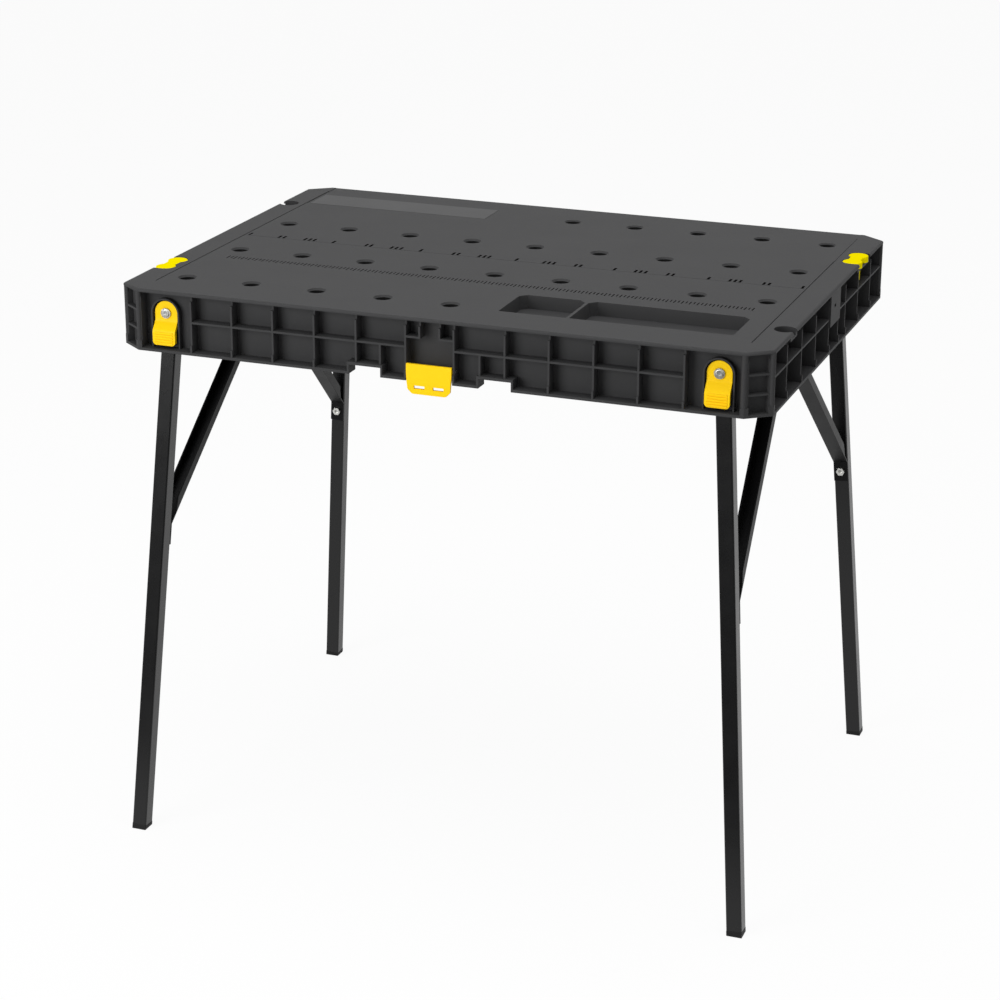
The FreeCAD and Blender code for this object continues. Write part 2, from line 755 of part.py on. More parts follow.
def box(x_size, y_size, z_size, low, frame):
    made = doc.addObject("Part::Box", "block")
    for field, size in (("Length", x_size), ("Width", y_size), ("Height", z_size)):
        made.setExpression(field, size.text)
    made.Placement = frame.multiply(moved(low))
    return made


def joined(label, parts):
    made = doc.addObject("Part::MultiFuse", label)
    made.Shapes = parts
    return made


def cut(label, base, tool):
    made = doc.addObject("Part::Cut", label)
    made.Base = base
    made.Tool = tool
    made.Label = label
    return made


def group(label, parts):
    made = doc.addObject("Part::Compound", label)
    made.Links = parts
    made.Label = label
    return made


def hex_bolt(label, head_radius, head_height, radius, length, frame):
    """A bolt whose shank starts under its head at the frame's origin and runs along Z."""
    head = doc.addObject("Part::Prism", "head")
    head.Polygon = 6
    head.setExpression("Circumradius", head_radius.text)
    head.setExpression("Height", head_height.text)
    head.Placement = frame.multiply(moved((ZERO, ZERO, -head_height)))
    shank = cylinder(radius, length, frame)
    bolt = joined("bolt", [head, shank])
    bolt.Label = label
    return bolt


def cylinder(radius, length, frame):
    made = doc.addObject("Part::Cylinder", "rod")
    made.setExpression("Radius", radius.text)
    made.setExpression("Height", length.text)
    made.Placement = frame
    return made


def along_y(frame, distance, height):
    """The frame's point at a distance along its Y, turned so that Z runs along that Y."""
    turn = FreeCAD.Placement(FreeCAD.Vector(0, distance.value, height.value),
                             FreeCAD.Rotation(FreeCAD.Vector(1, 0, 0), -90))
    return frame.multiply(turn)


def leg_piece(label, frame, pivot):
    length = (pivot[2] - s.cap_height) * stretch
    body = new_body(label)
    ring = new_sketch(body, "XY_Plane", -length)
    for half in (s.tube / 2, bore_half):
        rectangle(ring, -half, half, -half, half)
    tube = pad(body, ring, length + s.leg_overhang)
    doc.recompute()
    long_edges = edges_where(tube, lambda spot: near(abs(spot.x), s.tube.value / 2)
                             and near(abs(spot.y), s.tube.value / 2))
    dress(body, "PartDesign::Fillet", tube, long_edges, s.tube_corner, "Radius")
    pin = new_sketch(body, "XZ_Plane", s.tube)
    circle(pin, ZERO, ZERO, s.pivot_radius + s.pivot_fit)
    pocket(body, pin, s.tube * 2)
    bolt_height = (s.brace_kink_height - pivot[2]) * stretch - s.brace_bolt_drop
    inner = new_sketch(body, "XZ_Plane", s.tube)
    circle(inner, ZERO, bolt_height, s.brace_bolt_radius + s.brace_bolt_fit)
    pocket(body, inner, s.tube)
    lock = new_sketch(body, "XZ_Plane", -s.tube)
    lock_height = (s.bench_height - s.lever_drop - s.lock_drop - pivot[2]) * stretch
    circle(lock, ZERO, lock_height, s.lock_hole_radius)
    pocket(body, lock, s.tube, True)
    body.Placement = frame
    return body


def cap_piece(label, frame, pivot):
    low = -(pivot[2] - s.cap_height) * stretch
    half = s.tube / 2
    base_height = s.cap_height * 3
    base = box(s.tube, s.tube, base_height, (-half, -half, low - base_height), frame)
    plug_half = bore_half - s.cap_plug_fit
    plug = box(plug_half * 2, plug_half * 2, s.cap_plug_length + s.join_overlap,
               (-plug_half, -plug_half, low - s.join_overlap), frame)
    ground = box(s.bench_width * 2, s.bench_width * 2, base_height * 2,
                 (-s.bench_width, -s.bench_width, -base_height * 2), FreeCAD.Placement())
    return cut(label, joined("cap", [base, plug]), ground)


def offset_points(points, distance):
    """An open line of points moved to its right by distance, mitred at the bends."""
    normals = []
    for (y0, z0), (y1, z1) in zip(points, points[1:]):
        dy, dz = y1 - y0, z1 - z0
        length = root(dy * dy + dz * dz)
        normals.append((dz / length, -dy / length))
    corners = list(zip([normals[0]] + normals, normals + [normals[-1]]))
    shifted = []
    for (y, z), (first, second) in zip(points, corners):
        spread = first[0] * second[0] + first[1] * second[1] + 1
        shifted.append((y + distance * (first[0] + second[0]) / spread,
                        z + distance * (first[1] + second[1]) / spread))
    return shifted


def between(first, second, share):
    return first[0] + (second[0] - first[0]) * share, first[1] + (second[1] - first[1]) * share


def brace_piece(label, frame, pivot):
    """A channel whose flattened ends lie on the leg and across the hinge axis."""
    end_y = -(pivot[1] - s.brace_end_at) * slant
    kink = (s.brace_kink_height - pivot[2]) * stretch
    fall = lean_y * (pivot[1] - s.brace_end_at)
    bend = -(pivot[2] - fall - s.brace_bend_height) * stretch
    face = -s.tube / 2
    line = [(face, kink - s.brace_tab_length), (face, kink), (end_y, bend), (end_y, s.brace_tab_over)]
    body = new_body(label)
    half = s.tube / 2
    web = new_sketch(body, "YZ_Plane", -half)
    outline(web, line + list(reversed(offset_points(line, -s.brace_thickness))))
    pad(body, web, s.tube)
    raised = offset_points(line[1:3], s.brace_flange)
    low_share = s.brace_flange_share
    flange_line = [between(line[1], line[2], low_share), between(line[2], line[1], low_share),
                   between(raised[1], raised[0], low_share * 2), between(raised[0], raised[1], low_share * 2)]
    under = offset_points(line[1:3], -s.brace_thickness / 2)
    flange_line[0] = between(under[0], under[1], low_share)
    flange_line[1] = between(under[1], under[0], low_share)
    for at in (-half, half - s.brace_thickness):
        flange = new_sketch(body, "YZ_Plane", at)
        outline(flange, flange_line)
        pad(body, flange, s.brace_thickness)
    hole = new_sketch(body, "XZ_Plane", -end_y + s.tube)
    circle(hole, ZERO, ZERO, s.brace_bolt_radius + s.brace_bolt_fit)
    pocket(body, hole, s.tube * 2)
    low_hole = new_sketch(body, "XZ_Plane", s.tube)
    circle(low_hole, ZERO, kink - s.brace_bolt_drop, s.brace_bolt_radius + s.brace_bolt_fit)
    pocket(body, low_hole, s.tube)
    body.Placement = frame
    return body


finished = [worktop]
pivot_bolts = []
brace_pivots = []
brace_nuts = []
for end, end_name in ((SIDES[0], "front"), (SIDES[1], "back")):
    for (side, pivot), side_name in zip(LEVELS, ("left", "right")):
        place = f"{end_name}_{side_name}"
        frame = corner_frame(side, end, pivot)
        finished.append(leg_piece(f"leg_{place}", frame, pivot))
        finished.append(cap_piece(f"foot_cap_{place}", frame, pivot))
        finished.append(brace_piece(f"brace_{place}", frame, pivot))
        kink = (s.brace_kink_height - pivot[2]) * stretch
        tab_face = -(s.tube / 2 + s.brace_thickness)
        bolt_frame = along_y(frame, tab_face, kink - s.brace_bolt_drop)
        finished.append(hex_bolt(f"brace_bolt_{place}", s.brace_head_radius, s.brace_head_height,
                                 s.brace_bolt_radius, s.brace_bolt_length, bolt_frame))
        head_face = -(pivot[1] - web_inner) * slant - s.pivot_head_gap
        bolt_reach = (wall_front - web_inner) * slant
        pin_frame = along_y(frame, head_face, ZERO)
        bolt = hex_bolt("pivot", s.pivot_head_radius, s.pivot_head_height, s.pivot_radius,
                        bolt_reach, pin_frame)
        bore = cylinder(s.pivot_bolt_bore, s.pivot_bolt_bore_deep * 2,
                        along_y(frame, head_face + bolt_reach - s.pivot_bolt_bore_deep, ZERO))
        pivot_bolts.append(cut("pivot_bolt", bolt, bore))
        end_y = -(pivot[1] - s.brace_end_at) * slant
        turned_frame = frame.multiply(FreeCAD.Placement(FreeCAD.Vector(0, end_y.value, 0),
                                                        FreeCAD.Rotation(FreeCAD.Vector(1, 0, 0), 90)))
        brace_pivots.append(hex_bolt("brace_pivot", s.brace_head_radius, s.brace_head_height,
                                     s.brace_bolt_radius, s.brace_pivot_length, turned_frame))
        nut = doc.addObject("Part::Prism", "nut")
        nut.Polygon = 6
        nut.setExpression("Circumradius", s.brace_head_radius.text)
        nut.setExpression("Height", s.nut_height.text)
        nut_at = s.brace_thickness + s.mid_web_gap * 2 + s.mid_web_thickness
        nut.Placement = turned_frame.multiply(moved((ZERO, ZERO, nut_at)))
        nut_bore = cylinder(s.brace_bolt_radius, s.nut_height + s.join_overlap * 2,
                            turned_frame.multiply(moved((ZERO, ZERO, nut_at - s.join_overlap))))
        brace_nuts.append(cut("pivot_nut", nut, nut_bore))
finished.append(group("leg_pivot_bolts", pivot_bolts))
finished.append(group("brace_pivot_bolts", brace_pivots))
finished.append(group("brace_pivot_nuts", brace_nuts))


# Release lever: a flat lobe under its screw, a ramp and a ridged pad with the lock peg behind it
def lever_piece(label, place):
    half = s.lever_width / 2
    back, front = -s.lever_gap, -(s.lever_gap + s.lever_lobe_thickness)
    pad_back = s.lever_pad_thickness - s.lever_pad_front
    body = new_body(label)
    profile = new_sketch(body, "YZ_Plane", -half)
    outline(profile, [(back, half), (front, half), (front, -s.lever_ramp_from),
                      (-s.lever_pad_front, -s.lever_ramp_to), (-s.lever_pad_front, -s.lever_bottom),
                      (pad_back, -s.lever_bottom), (pad_back, -s.lever_ramp_to), (back, -s.lever_ramp_from)])
    pad(body, profile, s.lever_width)
    trim = new_sketch(body, "XZ_Plane", s.lever_width)
    reach = s.lever_width + s.lever_bottom
    rectangle(trim, -reach, reach, -reach, reach)
    arch(trim, ZERO, -s.lever_bottom, ZERO, half)
    shaped = pocket(body, trim, s.lever_width)
    doc.recompute()
    foot = edges_where(shaped, lambda spot: near(spot.z, -s.lever_bottom.value)
                       and near(abs(spot.x), half.value))
    rounded = dress(body, "PartDesign::Fillet", shaped, foot, s.lever_corner, "Radius")
    doc.recompute()
    bend_lines = ((front, -s.lever_ramp_from), (-s.lever_pad_front, -s.lever_ramp_to))
    bends = edges_where(rounded, lambda spot: any(near(spot.y, y.value) and near(spot.z, z.value)
                                                  for y, z in bend_lines))
    dress(body, "PartDesign::Fillet", rounded, bends, s.lever_bend, "Radius")
    hole = new_sketch(body, "XZ_Plane", s.lever_width)
    circle(hole, ZERO, ZERO, s.screw_radius + s.screw_play)
    pocket(body, hole, s.lever_width)
    peg = new_sketch(body, "XZ_Plane", s.join_overlap - pad_back)
    circle(peg, ZERO, -s.lock_drop, s.lever_peg_radius)
    pad(body, peg, s.join_overlap - pad_back - s.lever_gap, True)
    ridge = new_sketch(body, "XZ_Plane", s.lever_pad_front - s.join_overlap)
    low = -s.lever_ridge_from
    rectangle(ridge, -s.lever_ridge_wide / 2, s.lever_ridge_wide / 2, low, low + s.lever_ridge_high)
    first = pad(body, ridge, s.join_overlap + s.lever_ridge_proud)
    rows = body.newObject("PartDesign::LinearPattern", "ridges")
    rows.Originals = [first]
    rows.Direction = (origin_part(body, "Z_Axis"), [""])
    rows.setExpression("Length", (s.lever_ridge_pitch * (s.lever_ridge_count - 1)).text)
    rows.setExpression("Occurrences", s.lever_ridge_count.text)
    body.Tip = rows
    body.Placement = place
    return body


def wall_frame(side, end):
    """A frame on the outer face of the front or back wall, with Y running inwards."""
    turn = 0 if end.value < 0 else 180
    base = FreeCAD.Vector(side.value * s.lever_at.value, end.value * wall_front.value, lever_z.value)
    return FreeCAD.Placement(base, FreeCAD.Rotation(FreeCAD.Vector(0, 0, 1), turn))


screws = []
for end, end_name in ((SIDES[0], "front"), (SIDES[1], "back")):
    for side, side_name in ((SIDES[0], "left"), (SIDES[1], "right")):
        place = wall_frame(side, end)
        finished.append(lever_piece(f"release_lever_{end_name}_{side_name}", place))
        under_head = -(s.lever_gap + s.lever_lobe_thickness + s.screw_play)
        screw_frame = along_y(place, under_head, ZERO)
        head = cylinder(s.screw_head_radius, s.screw_head_height,
                        along_y(place, under_head - s.screw_head_height, ZERO))
        screws.append(joined("screw", [head, cylinder(s.screw_radius, s.screw_length, screw_frame)]))
finished.append(group("lever_screws", screws))


# Latch flap on its pin
def latch_piece(label, place):
    half = s.latch_bay_half - rib_half - s.latch_side_gap
    body = new_body(label)
    barrel = new_sketch(body, "YZ_Plane", -half)
    circle(barrel, ZERO, ZERO, s.latch_barrel_radius)
    pad(body, barrel, half * 2)
    flap = new_sketch(body, "YZ_Plane", -half)
    front, back = -s.latch_face, s.latch_thickness - s.latch_face
    hub = s.latch_barrel_radius / 2
    middle = -s.latch_length / 2
    outline(flap, [(front, s.latch_rise), (back, s.latch_rise), (ZERO, hub), (ZERO, -hub),
                   (back, -s.latch_rise), (back - s.latch_bulge, middle), (back, -s.latch_length),
                   (front, -s.latch_length), (front - s.latch_bulge, middle)])
    pad(body, flap, half * 2)
    trim = new_sketch(body, "XZ_Plane", s.latch_length)
    low = -s.latch_length
    foot = s.latch_foot_half
    for side in SIDES:
        outline(trim, [(side * half, -s.latch_barrel_radius), (side * foot, low + s.latch_corner),
                       (side * (foot - s.latch_corner), low),
                       (side * (foot - s.latch_corner), low - s.join_overlap),
                       (side * (half + s.join_overlap), low - s.join_overlap),
                       (side * (half + s.join_overlap), -s.latch_barrel_radius)])
    pocket(body, trim, s.latch_length * 2)
    bore = new_sketch(body, "YZ_Plane", half + s.join_overlap)
    circle(bore, ZERO, ZERO, s.latch_pin_radius + s.latch_pin_fit)
    pocket(body, bore, half * 2 + s.join_overlap * 2)
    slots = new_sketch(body, "XZ_Plane", s.latch_length)
    for side in SIDES:
        middle_x = side * s.latch_slot_at
        rectangle(slots, middle_x - s.latch_slot_long / 2, middle_x + s.latch_slot_long / 2,
                  -s.latch_slot_drop - s.latch_slot_high / 2, s.latch_slot_high / 2 - s.latch_slot_drop)
    pocket(body, slots, s.latch_length * 2)
    body.Placement = place
    return body


pins = []
for end, end_name, turn in ((-1, "front", 0), (1, "back", 180)):
    base = FreeCAD.Vector(0, end * pin_y.value, pin_z.value)
    place = FreeCAD.Placement(base, FreeCAD.Rotation(FreeCAD.Vector(0, 0, 1), turn))
    finished.append(latch_piece(f"latch_{end_name}", place))
    pin_half = s.latch_bay_half + rib_half
    pin_turn = FreeCAD.Placement(FreeCAD.Vector(-pin_half.value, 0, 0),
                                 FreeCAD.Rotation(FreeCAD.Vector(0, 1, 0), 90))
    pins.append(cylinder(s.latch_pin_radius, pin_half * 2, place.multiply(pin_turn)))
finished.append(group("latch_pins", pins))


# Connector: a dog bone on a barbed stem
def connector_piece(label, place):
    body = new_body(label)
    ends = new_sketch(body, "XY_Plane", -s.key_thickness)
    for at in (ZERO, s.key_spacing):
        circle(ends, ZERO, at, s.key_lobe_radius)
    pad(body, ends, s.key_thickness)
    bar = new_sketch(body, "XY_Plane", -s.key_thickness)
    rectangle(bar, -s.key_waist / 2, s.key_waist / 2, ZERO, s.key_spacing)
    pad(body, bar, s.key_thickness)
    stem = new_sketch(body, "XY_Plane", s.join_overlap - s.key_thickness)
    circle(stem, ZERO, ZERO, s.key_stem_radius)
    pad(body, stem, s.key_stem_length - s.key_thickness + s.join_overlap, True)
    barb = body.newObject("PartDesign::AdditiveCone", "barb")
    barb.setExpression("Radius1", s.key_stem_radius.text)
    barb.setExpression("Radius2", s.key_barb_radius.text)
    barb.setExpression("Height", s.key_barb_height.text)
    barb_low = -(s.key_seat_depth + s.key_seat_floor + s.key_clearance + s.key_barb_height)
    barb.setExpression("AttachmentOffset.Base.z", barb_low.text)
    barb.AttachmentSupport = [(origin_part(body, "XY_Plane"), "")]
    barb.MapMode = "FlatFace"
    doc.recompute()
    rims = edges_where(barb, lambda spot: near(spot.z, 0))
    dress(body, "PartDesign::Chamfer", barb, rims, s.key_edge, "Size")
    body.Placement = place
    return body


for side, end, name, turn in ((-1, -1, "left", 0), (1, 1, "right", 180)):
    base = FreeCAD.Vector(side * key_x.value, end * s.key_at.value, top_face.value)
    finished.append(connector_piece(f"connector_{name}",
                                    FreeCAD.Placement(base, FreeCAD.Rotation(FreeCAD.Vector(0, 0, 1), turn))))

# Check every object, then write one file for each piece
doc.recompute()
for made in doc.Objects:
    if "Invalid" in made.State or "Error" in made.State:
        raise RuntimeError(f"{made.Name} ({made.Label}) did not build: {made.State}")
os.makedirs("parts", exist_ok=True)
for piece in finished:
    if piece.Shape.isNull() or not piece.Shape.isValid():
        raise RuntimeError(f"{piece.Label} has no sound shape")
    piece.Shape.exportStep(f"parts/{piece.Label}.step")
    print(piece.Label, len(piece.Shape.Solids), round(piece.Shape.Volume), piece.Shape.BoundBox)
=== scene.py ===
import json
import math

import bpy
from mathutils import Matrix, Vector


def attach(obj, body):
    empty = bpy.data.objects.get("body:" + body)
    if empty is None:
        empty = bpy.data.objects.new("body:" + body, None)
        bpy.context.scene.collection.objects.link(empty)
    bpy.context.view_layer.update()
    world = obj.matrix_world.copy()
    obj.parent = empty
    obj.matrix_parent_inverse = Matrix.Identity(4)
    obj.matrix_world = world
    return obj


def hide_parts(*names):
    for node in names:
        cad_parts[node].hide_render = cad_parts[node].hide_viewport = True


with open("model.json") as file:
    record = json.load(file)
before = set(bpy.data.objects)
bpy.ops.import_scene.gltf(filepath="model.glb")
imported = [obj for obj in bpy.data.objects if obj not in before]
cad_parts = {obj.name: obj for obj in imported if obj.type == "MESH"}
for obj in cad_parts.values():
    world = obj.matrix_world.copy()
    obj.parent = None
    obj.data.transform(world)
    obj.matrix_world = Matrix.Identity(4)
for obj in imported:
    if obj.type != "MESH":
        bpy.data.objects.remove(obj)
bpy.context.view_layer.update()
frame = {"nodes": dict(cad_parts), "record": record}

# Worktop: one injection moulding of dark grey polypropylene, with a fine spark-eroded grain,
# ribbed side walls and drafted edges that leave the tool with a small radius.
# It carries the legs, levers, latches and connectors.
nodes = frame["nodes"]
body_of_node = {}
for body, names in frame["record"]["behaviour"]["bodies"].items():
    for node in names:
        body_of_node[node] = body


def new_material(name):
    """An empty material with its node tree and shader."""
    material = bpy.data.materials.new(name)
    material.use_nodes = True
    tree = material.node_tree
    return material, tree, tree.nodes["Principled BSDF"]


def noise(tree, scale, detail=2.0):
    """Noise laid over the piece's own coordinates."""
    place = tree.nodes.new("ShaderNodeTexCoord")
    texture = tree.nodes.new("ShaderNodeTexNoise")
    texture.inputs["Scale"].default_value = scale
    texture.inputs["Detail"].default_value = detail
    tree.links.new(place.outputs["Object"], texture.inputs["Vector"])
    return texture.outputs["Fac"]


def between(tree, value, low, high):
    """A value from 0 to 1 spread between two numbers."""
    span = tree.nodes.new("ShaderNodeMapRange")
    span.inputs["To Min"].default_value = low
    span.inputs["To Max"].default_value = high
    tree.links.new(value, span.inputs["Value"])
    return span.outputs["Result"]


def tinted(tree, shader, value, dark, light, start=0.0, stop=1.0):
    """Colour the shader from dark to light along a value."""
    ramp = tree.nodes.new("ShaderNodeValToRGB")
    low, high = ramp.color_ramp.elements
    low.position, high.position = start, stop
    low.color, high.color = (*dark, 1), (*light, 1)
    tree.links.new(value, ramp.inputs["Fac"])
    tree.links.new(ramp.outputs["Color"], shader.inputs["Base Color"])


def bumped(tree, shader, height, strength, distance=0.0002):
    """Raise a fine relief on the shader."""
    relief = tree.nodes.new("ShaderNodeBump")
    relief.inputs["Strength"].default_value = strength
    relief.inputs["Distance"].default_value = distance
    tree.links.new(height, relief.inputs["Height"])
    tree.links.new(relief.outputs["Normal"], shader.inputs["Normal"])


def moulded_plastic(name, colour, grain_depth, roughness, speckle, gloss):
    """Plastic with a fine moulded grain and a slight unevenness of tone."""
    plastic, tree, shader = new_material(name)
    shader.inputs["Specular IOR Level"].default_value = gloss
    cloud = noise(tree, scale=14.0, detail=6.0)
    dark = [channel * (1 - speckle) for channel in colour]
    light = [channel * (1 + speckle) for channel in colour]
    tinted(tree, shader, cloud, dark, light, start=0.3, stop=0.7)
    unevenness = 0.06
    sheen = between(tree, cloud, roughness - unevenness, roughness + unevenness)
    tree.links.new(sheen, shader.inputs["Roughness"])
    bumped(tree, shader, noise(tree, scale=1600.0), grain_depth)
    return plastic


def deselect_all():
    """Leave edit mode and select nothing."""
    if bpy.context.object is not None and bpy.context.object.mode != "OBJECT":
        bpy.ops.object.mode_set(mode="OBJECT")
    bpy.ops.object.select_all(action="DESELECT")


def work_on(piece):
    """Select one piece alone and make it active."""
    deselect_all()
    piece.select_set(True)
    bpy.context.view_layer.objects.active = piece


def even_shading(piece):
    """Smooth shading that keeps flat faces flat beside their rounded edges."""
    work_on(piece)
    bpy.ops.object.shade_smooth_by_angle(angle=math.radians(35))
    weigh = piece.modifiers.new("face_weights", "WEIGHTED_NORMAL")
    weigh.keep_sharp = True
    weigh.weight = 100
    bpy.ops.object.modifier_apply(modifier=weigh.name)


def softened(node, ending, edge_width, segments, finish):
    """A copy of a CAD piece with its sharp edges rounded, which stands for the node."""
    piece = nodes[node].copy()
    piece.data = nodes[node].data.copy()
    piece.name = f"{node}_{ending}"
    bpy.context.scene.collection.objects.link(piece)
    piece.parent = None
    piece.matrix_world = Matrix.Identity(4)
    work_on(piece)
    bpy.ops.object.mode_set(mode="EDIT")
    bpy.ops.mesh.select_all(action="SELECT")
    bpy.ops.mesh.remove_doubles(threshold=1e-6)
    bpy.ops.mesh.dissolve_limited(angle_limit=math.radians(0.5))
    bpy.ops.object.mode_set(mode="OBJECT")
    rounding = piece.modifiers.new("edge_rounding", "BEVEL")
    rounding.width = edge_width
    rounding.segments = segments
    rounding.limit_method = "ANGLE"
    rounding.angle_limit = math.radians(40)
    bpy.ops.object.modifier_apply(modifier=rounding.name)
    even_shading(piece)
    piece.data.materials.clear()
    piece.data.materials.append(finish)
    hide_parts(node)
    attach(piece, body_of_node[node])
    return piece


top_grey = (0.041, 0.041, 0.042)
top_plastic = moulded_plastic("grained_grey_plastic", top_grey,
                              grain_depth=0.25, roughness=0.58, speckle=0.05, gloss=0.08)
worktop = softened("worktop", "moulding", edge_width=0.0005, segments=1, finish=top_plastic)

# Corner posts: part of the same moulding, a round upright at each end of the four cut corners.
# They run from the bottom flange to the plate, so that the corner's outline is straight.


def rod(sides, radius, length, place, turn=0.0):
    """A round or many-sided bar around a place, upright unless turned about X."""
    deselect_all()
    bpy.ops.mesh.primitive_cylinder_add(vertices=sides, radius=radius, depth=length,
                                        location=place, rotation=(turn, 0, 0))
    bpy.ops.object.transform_apply(location=True, rotation=True, scale=True)
    return bpy.context.object


def joined(pieces):
    """Several pieces as one, under the first one's name."""
    deselect_all()
    for piece in pieces:
        piece.select_set(True)
    bpy.context.view_layer.objects.active = pieces[0]
    if len(pieces) > 1:
        bpy.ops.object.join()
    return bpy.context.object


def carve(piece, tools, operation="DIFFERENCE"):
    """Cut the tools out of a piece, or merge them into it, and throw them away."""
    tool = joined(tools)
    work_on(piece)
    cut = piece.modifiers.new("carving", "BOOLEAN")
    cut.object = tool
    cut.operation = operation
    cut.solver = "MANIFOLD"
    bpy.ops.object.modifier_apply(modifier=cut.name)
    bpy.data.objects.remove(tool)


quarters = [(side, end) for side in (1, -1) for end in (1, -1)]
post_radius, post_length, post_middle = 0.0035, 0.0748, 0.7044
post_places = ((0.4215, 0.27927), (0.39381, 0.3005))
corner_posts = []
for side, end in quarters:
    for across, along in post_places:
        post_place = (side * across, end * along, post_middle)
        corner_posts.append(rod(32, post_radius, post_length, post_place))
carve(worktop, corner_posts, "UNION")

# Ruler and clamp marks: sunk into the same moulding, a row of fine ticks every five millimetres
# behind the tray, and slots in groups of one, two and three along the seam in the middle.
# At the back the sunk field of the top runs out to the edge.


def block(name, size, place):
    """A box of the given size around a place."""
    deselect_all()
    bpy.ops.mesh.primitive_cube_add(size=1, location=place)
    made = bpy.context.object
    made.name = name
    made.scale = size
    bpy.ops.object.transform_apply(location=True, rotation=True, scale=True)
    return made


def row_of(piece, count, step):
    """Repeat a piece in a row along X."""
    work_on(piece)
    repeat = piece.modifiers.new("row", "ARRAY")
    repeat.count = count
    repeat.use_relative_offset = False
    repeat.use_constant_offset = True
    repeat.constant_offset_displace = (step, 0, 0)
    bpy.ops.object.modifier_apply(modifier=repeat.name)


top_z = 0.745
tick_pitch, tick_width, tick_depth = 0.005, 0.0015, 0.0030
short_ticks = block("short_ticks", (tick_width, 0.0095, tick_depth), (-0.352, -0.1170, top_z))
row_of(short_ticks, count=71, step=tick_pitch * 2)
long_ticks = block("long_ticks", (tick_width, 0.0125, tick_depth), (-0.357, -0.1185, top_z))
row_of(long_ticks, count=72, step=tick_pitch * 2)
marks = [short_ticks, long_ticks]
mark_size, mark_y, mark_pitch = (0.0034, 0.0125, 0.006), 0.0050, 0.0068
millimetres_and_counts = ((0, 1), (45, 3), (85, 2), (135, 1), (170, 3),
                          (210, 2), (261, 1), (296, 3), (337, 2), (384, 1))
for at, count in millimetres_and_counts:
    for side in (1, -1) if at else (1,):
        first = side * at / 1000 - mark_pitch * (count - 1) / 2
        slots = block("clamp_marks", mark_size, (first, mark_y, top_z))
        row_of(slots, count, mark_pitch)
        marks.append(slots)
carve(worktop, marks)
carve(worktop, [block("seam", (0.776, 0.0007, 0.0006), (0, -0.0024, top_z))])
carve(worktop, [block("back_run_out", (0.7786, 0.04, 0.004), (0, 0.2965, 0.7464))])
even_shading(worktop)

# Bores and marks: the same moulding, rougher inside the dog holes and the engraved marks, with
# painted shade there:
# a darker tone where hardly any light falls.
bore_shade_black = (0.010, 0.010, 0.010)
bore_shade_plastic = moulded_plastic("painted_shade_bore_plastic", bore_shade_black,
                               grain_depth=0.4, roughness=0.8, speckle=0.1, gloss=0.05)
worktop.data.materials.append(bore_shade_plastic)
painted_shade_slot = len(worktop.data.materials) - 1
hole_pitch, rows_middle, rows_half = 0.09, 0.154, 0.077
bore_reach, sink_reach = 0.0103, 0.013
bore_low, bore_high = 0.7287, 0.7423
mark_low, mark_high = 0.7425, 0.7448
field_x, field_y = 0.385, 0.13
tray_left, tray_back = 0.05, -0.15
# Faces inside the dog holes and the engraved marks take the painted shade material.
for face in worktop.data.polygons:
    spot = face.center
    off_column = spot.x - hole_pitch * round(spot.x / hole_pitch)
    off_row = abs(abs(spot.y) - rows_middle) - rows_half
    from_hole = math.hypot(off_column, off_row)
    in_tray = spot.x > tray_left and spot.y < tray_back
    in_bore = from_hole < bore_reach and bore_low < spot.z < bore_high and not in_tray
    in_field = abs(spot.x) < field_x and abs(spot.y) < field_y
    in_mark = in_field and from_hole > sink_reach and mark_low < spot.z < mark_high
    if in_bore or in_mark:
        face.material_index = painted_shade_slot

# Faces square to an axis are shaded flat, so that the carving leaves no patches on them.
square_on = 0.9998
corner_normals = [corner.vector.copy() for corner in worktop.data.corner_normals]
for face in worktop.data.polygons:
    if max(abs(share) for share in face.normal) > square_on:
        for corner in face.loop_indices:
            corner_normals[corner] = face.normal.copy()
worktop.data.normals_split_custom_set(corner_normals)

# Back left panel: a plain, smoother field of the same plastic, moulded with the plate.
# It stands a hair above the sunk field around it.
panel_grey = (0.053, 0.053, 0.054)
panel_plastic = moulded_plastic("smooth_grey_plastic", panel_grey,
                                grain_depth=0.06, roughness=0.5, speckle=0.03, gloss=0.1)
name_panel = block("name_panel", (0.265, 0.055, 0.0003), (-0.2525, 0.2295, 0.74455))
name_panel.data.materials.append(panel_plastic)
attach(name_panel, "top")

# Legs: straight square steel tube with rounded corners, coated with black powder paint.
# Each hangs on a pivot bolt in a pocket of the worktop and splays both ways.


def coated_steel(name, colour, roughness, gloss):
    """Powder paint on steel: a faint orange peel over an even colour."""
    paint, tree, shader = new_material(name)
    shader.inputs["Base Color"].default_value = (*colour, 1)
    shader.inputs["Specular IOR Level"].default_value = gloss
    bumped(tree, shader, noise(tree, scale=700.0, detail=3.0), strength=0.12)
    rub = noise(tree, scale=30.0)
    sheen = between(tree, rub, roughness - 0.05, roughness + 0.08)
    tree.links.new(sheen, shader.inputs["Roughness"])
    return paint


black_coat = (0.004, 0.004, 0.0043)
leg_paint = coated_steel("black_leg_paint", black_coat, roughness=0.26, gloss=0.32)
corners = [f"{end}_{side}" for end in ("front", "back") for side in ("left", "right")]
for corner in corners:
    leg = softened(f"leg_{corner}", "tube", edge_width=0.0014, segments=3, finish=leg_paint)

# Braces: steel strip folded into a channel and flattened at both ends, painted a duller black
# than the legs. The lower tab is bolted to the leg and the upper one turns on a pivot bolt.
brace_paint = coated_steel("black_brace_paint", black_coat, roughness=0.4, gloss=0.1)
for corner in corners:
    brace = softened(f"brace_{corner}", "channel",
                     edge_width=0.0005, segments=2, finish=brace_paint)

